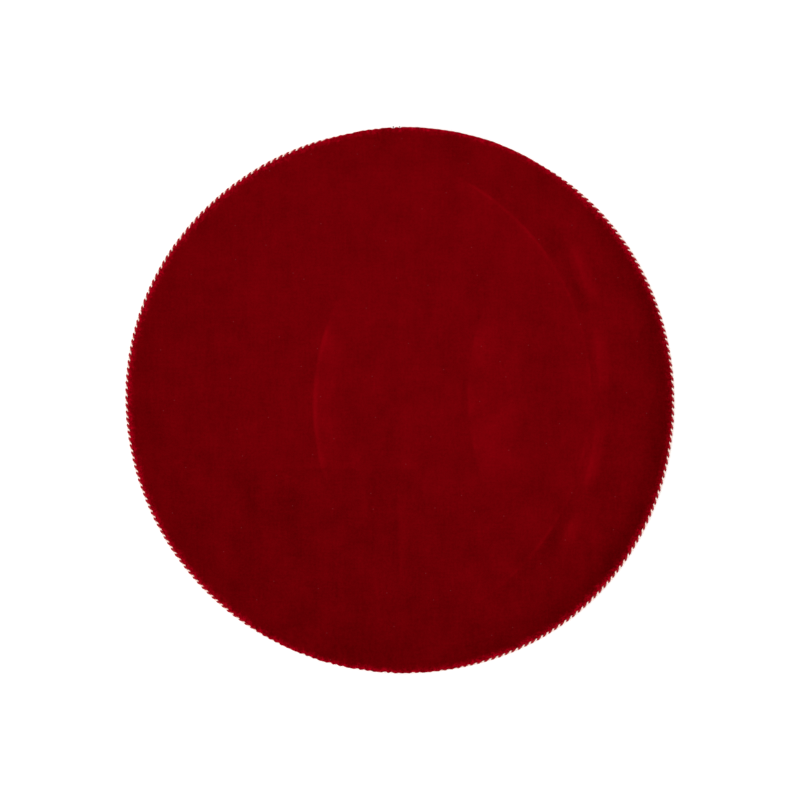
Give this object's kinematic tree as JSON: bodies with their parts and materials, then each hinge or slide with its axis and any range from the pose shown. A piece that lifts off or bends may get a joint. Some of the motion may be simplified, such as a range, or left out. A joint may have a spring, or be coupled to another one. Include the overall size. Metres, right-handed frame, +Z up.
{
  "type": "tree skirt",
  "caption": "Round closed velvet tree skirt: a wadded, lined disc that lies flat under a tree, edged with a two-colour twisted cord.",
  "frame": {"origin": "on the floor, under the middle of the disc", "axes": "+Z up through the disc; +Y towards the join of the rim cord; the disc lies in XY"},
  "size_m": [1, 1, 0.007],
  "materials": {
    "velvet": "red cotton velvet, upright short pile, matt with a soft sheen",
    "wadding": "white needled polyester wadding",
    "lining": "red plain-woven poly-cotton, matt",
    "cord": "two-ply twisted cord, one red ply and one ivory ply, soft sheen",
    "tape": "red woven cotton tape",
    "binding_thread": "ivory spun thread",
    "seam_thread": "red spun polyester sewing thread",
    "whipping_thread": "red twisted thread, close wound",
    "closing_thread": "red hand-sewing thread",
    "label": "white woven satin label, blank"
  },
  "bodies": {
    "root": {"velvet_face": "velvet", "wadding": "wadding", "lining": "lining", "rim_cord": "cord", "cord_lip_tape": "tape", "lip_binding_thread": "binding_thread", "seam_needle_thread": "seam_thread", "seam_bobbin_thread": "seam_thread", "cord_join_whipping": "whipping_thread", "closing_stitch_thread": "closing_thread", "care_label": "label"}
  },
  "joints": []
}
